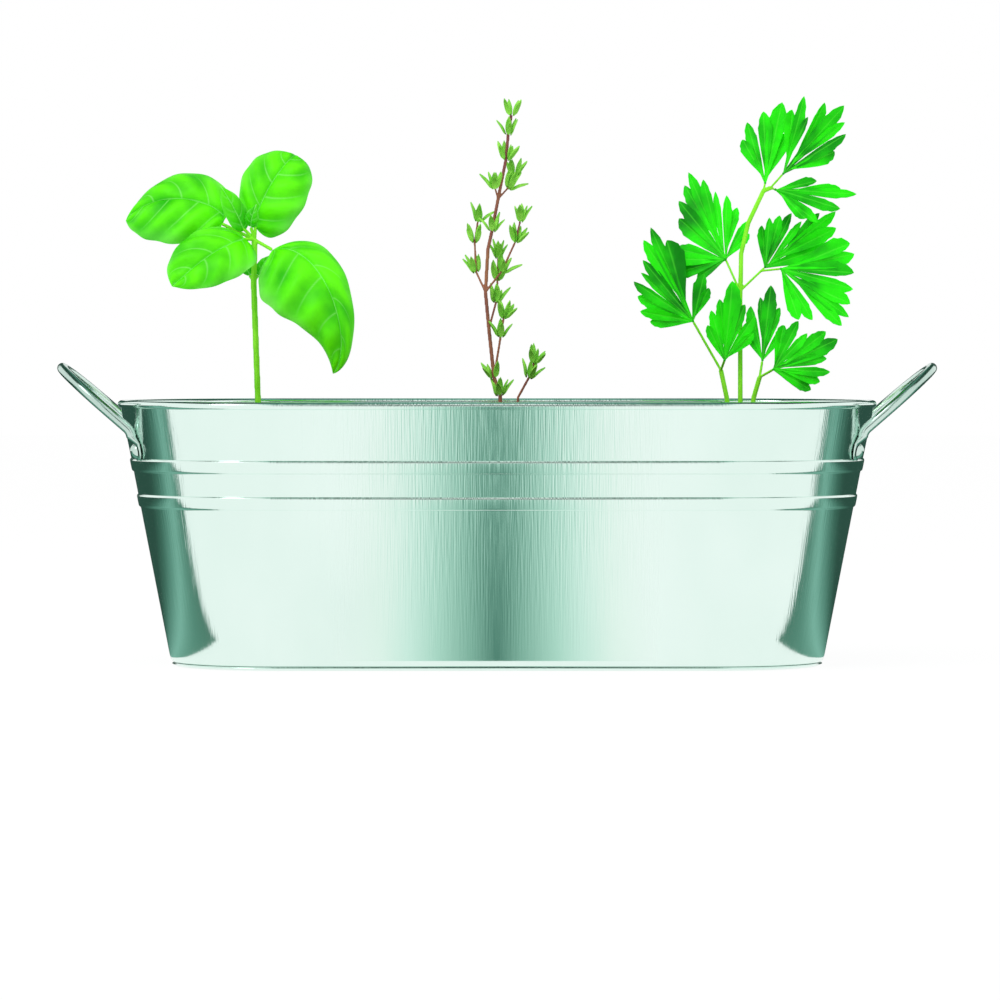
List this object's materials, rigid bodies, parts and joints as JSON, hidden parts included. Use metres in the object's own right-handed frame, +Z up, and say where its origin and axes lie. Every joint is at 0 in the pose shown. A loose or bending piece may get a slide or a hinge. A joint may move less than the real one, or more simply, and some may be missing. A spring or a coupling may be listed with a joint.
{
  "type": "indoor herb planter",
  "caption": "Small obround zinc herb planter with rolled rim, banded wall and riveted rod handles, filled with soil and planted with basil, thyme and parsley",
  "frame": {"origin": "middle of the tub's base, on the surface it stands on", "axes": "+Z up, +X along the tub towards the parsley, +Y to the back"},
  "size_m": [0.2786, 0.102, 0.1801],
  "materials": {
    "zinc_sheet": "bright zinc coating with a fine upright grain",
    "zinc_rod": "bright zinc coating",
    "potting_soil": "moist crumbly compost of bark and peat",
    "green_stem": "soft green herb stem",
    "woody_stem": "thin woody stem",
    "basil_leaf": "glossy leaf",
    "thyme_leaf": "matt leaf",
    "parsley_leaf": "satin leaf"
  },
  "bodies": {
    "root": {"basil_leaf_front": "basil_leaf", "basil_leaf_left": "basil_leaf", "basil_leaf_right": "basil_leaf", "basil_leaf_top": "basil_leaf", "basil_stem": "green_stem", "basil_young_leaves": "basil_leaf", "floor_pan": "zinc_sheet", "handle_left": "zinc_rod", "handle_right": "zinc_rod", "handle_rivets": "zinc_rod", "parsley_leaf_front_left": "parsley_leaf", "parsley_leaf_front_right": "parsley_leaf", "parsley_leaf_left_high": "parsley_leaf", "parsley_leaf_left_inner": "parsley_leaf", "parsley_leaf_left_low": "parsley_leaf", "parsley_leaf_low_side": "parsley_leaf", "parsley_leaf_right_high": "parsley_leaf", "parsley_leaf_right_low": "parsley_leaf", "parsley_leaf_top_left": "parsley_leaf", "parsley_leaf_top_right": "parsley_leaf", "parsley_leaf_top_side": "parsley_leaf", "parsley_stem_left": "green_stem", "parsley_stem_middle": "green_stem", "parsley_stem_right": "green_stem", "potting_soil": "potting_soil", "rim_wire": "zinc_sheet", "thyme_leaves_crook": "thyme_leaf", "thyme_leaves_inner": "thyme_leaf", "thyme_leaves_left": "thyme_leaf", "thyme_leaves_lower": "thyme_leaf", "thyme_leaves_main": "thyme_leaf", "thyme_leaves_right": "thyme_leaf", "thyme_leaves_sprig": "thyme_leaf", "thyme_leaves_upper": "thyme_leaf", "thyme_sprig": "woody_stem", "thyme_stem": "woody_stem", "tub_wall": "zinc_sheet"}
  },
  "joints": []
}
